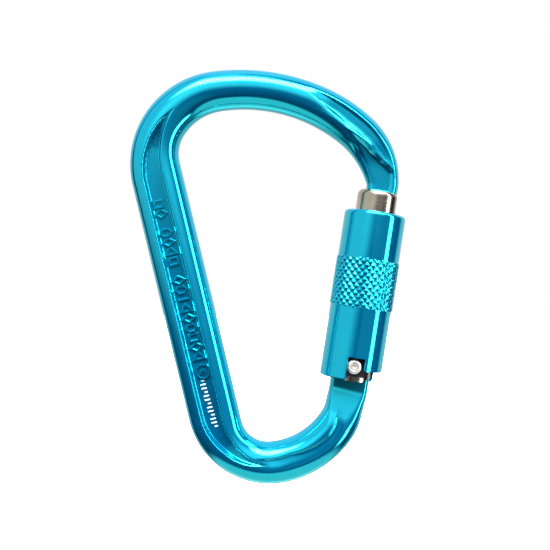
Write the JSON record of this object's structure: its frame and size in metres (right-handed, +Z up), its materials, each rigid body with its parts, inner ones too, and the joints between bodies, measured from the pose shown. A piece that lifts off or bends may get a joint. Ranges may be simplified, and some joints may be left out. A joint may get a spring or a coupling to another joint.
{
  "type": "locking carabiner",
  "caption": "Pear-shaped forged locking carabiner with a sprung round gate and a knurled sleeve that lifts and turns before the gate can swing in.",
  "frame": {"origin": "highest point of the loop's inside, where a rope bears on the wide end, at mid thickness", "axes": "+Z up towards the wide end, +X from the spine to the gate, +Y towards the back face"},
  "size_m": [0.0777, 0.0172, 0.1169],
  "materials": {
    "anodised_frame": "hot-forged, polished and anodised bright cyan blue",
    "anodised_sleeve": "turned, knurled and anodised bright cyan blue",
    "nickel": "satin nickel plate",
    "rivet_steel": "brushed stainless steel",
    "spring_steel": "drawn spring wire",
    "black_nylon": "moulded black nylon"
  },
  "bodies": {
    "frame": {"frame": "anodised_frame"},
    "gate": {"gate_arm": "nickel", "hinge_rivet": "rivet_steel", "guide_bush": "black_nylon", "snap_ring": "spring_steel", "spring_washer": "rivet_steel", "sleeve_spring": "spring_steel", "gate_spring": "spring_steel"},
    "plunger": {"gate_plunger": "rivet_steel"},
    "slider": {"follower_ring": "black_nylon"},
    "sleeve": {"locking_sleeve": "anodised_sleeve"}
  },
  "joints": [
    {"name": "gate_open", "type": "hinge", "parent": "frame", "child": "gate", "pos_m": [0.03165, 0, -0.07221], "axis": [0, -1, 0], "range_deg": [0, 23.5], "stiffness_Nm_per_rad": 0.25, "springref_deg": -20.05},
    {"name": "plunger_slide", "type": "slide", "parent": "gate", "child": "plunger", "axis": [0.1542, 0, 0.988], "range_m": [0, 0.00115], "deforming": ["gate_spring"]},
    {"name": "sleeve_lift", "type": "slide", "parent": "gate", "child": "slider", "axis": [0.1542, 0, 0.988], "range_m": [0, 0.0033], "stiffness_N_per_m": 700, "springref_m": -0.006, "deforming": ["sleeve_spring"]},
    {"name": "sleeve_twist", "type": "hinge", "parent": "slider", "child": "sleeve", "pos_m": [0.03473, 0, -0.05245], "axis": [-0.1542, 0, -0.988], "range_deg": [0, 95], "stiffness_Nm_per_rad": 0.02, "springref_deg": -28.65}
  ],
  "couplings": [
    {"joint": "plunger_slide", "follows": "gate_open", "m_per_rad": 0.0026}
  ]
}
